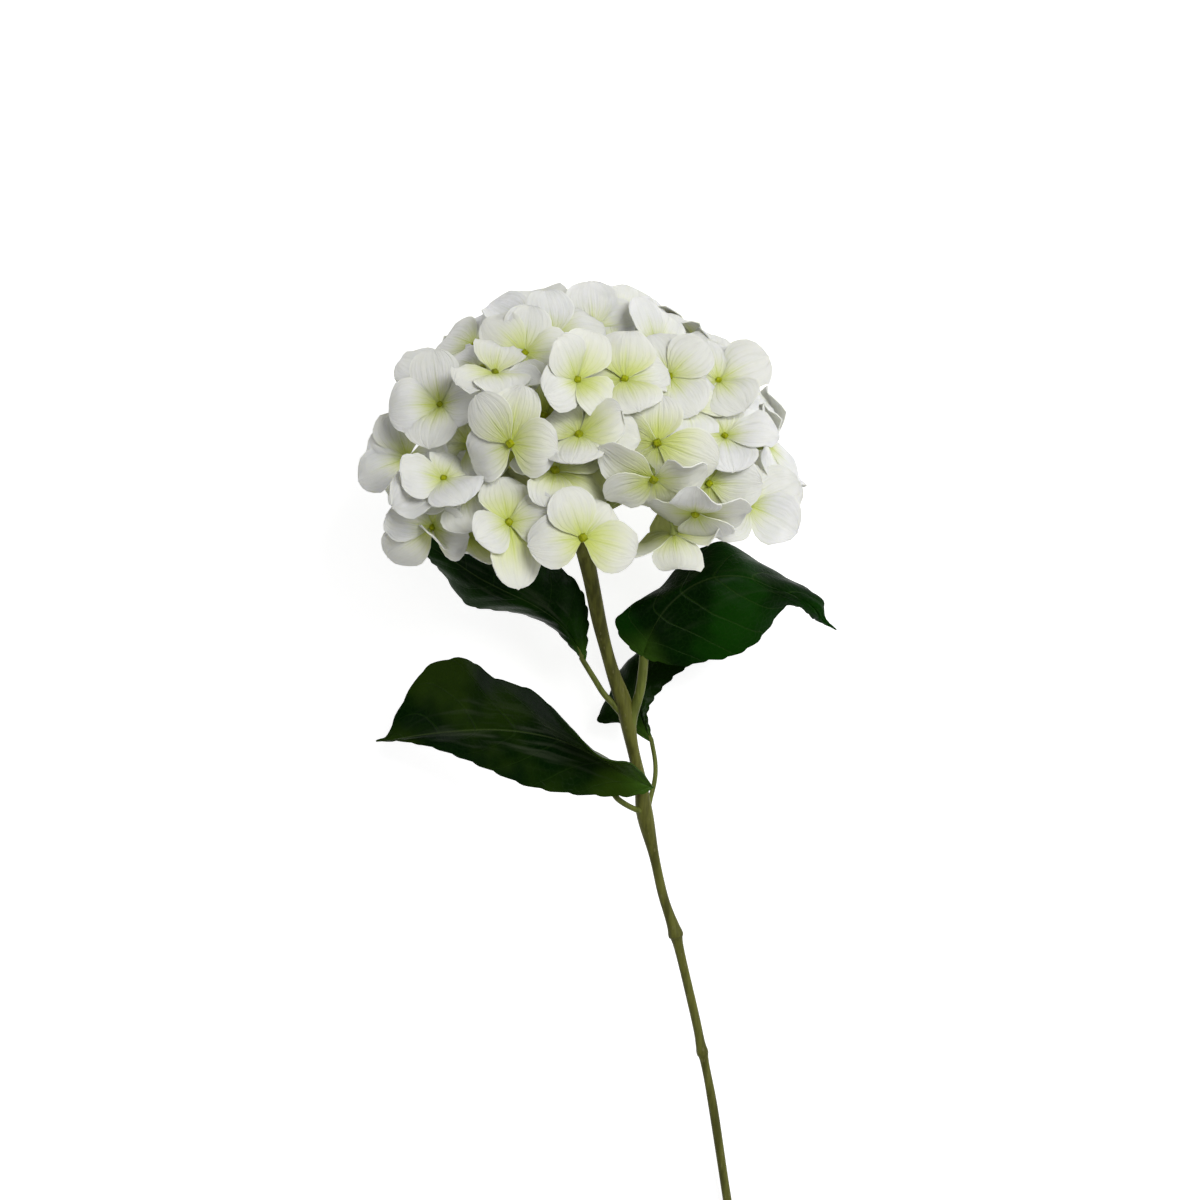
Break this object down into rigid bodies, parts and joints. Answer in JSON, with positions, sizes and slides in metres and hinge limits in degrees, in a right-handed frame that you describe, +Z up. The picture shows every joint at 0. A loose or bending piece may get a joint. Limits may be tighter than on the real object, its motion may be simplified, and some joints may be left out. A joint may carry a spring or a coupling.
{
  "type": "cut hydrangea",
  "caption": "Cut hydrangea stem with a domed head of white florets and dark serrate leaves, lying on a surface.",
  "frame": {"origin": "on the surface that the flower lies on, under the middle of the head, in the flat face of a sepal pressed under it", "axes": "+Z up from the surface, +Y from the cut end of the stem towards the crown of the head, +X to the right seen from above"},
  "size_m": [0.1922, 0.4356, 0.1481],
  "materials": {
    "sepals": "soft matte white petal with a lime flush round the eye",
    "stem": "olive green skin with fine lengthwise streaks",
    "leaf": "dark green waxy leaf with paler veins"
  },
  "bodies": {
    "root": {"stem": "stem", "florets": "sepals", "leaf_lower_left": "leaf", "leaf_upper_left": "leaf", "leaf_upper_right": "leaf", "leaf_back": "leaf"}
  },
  "joints": []
}
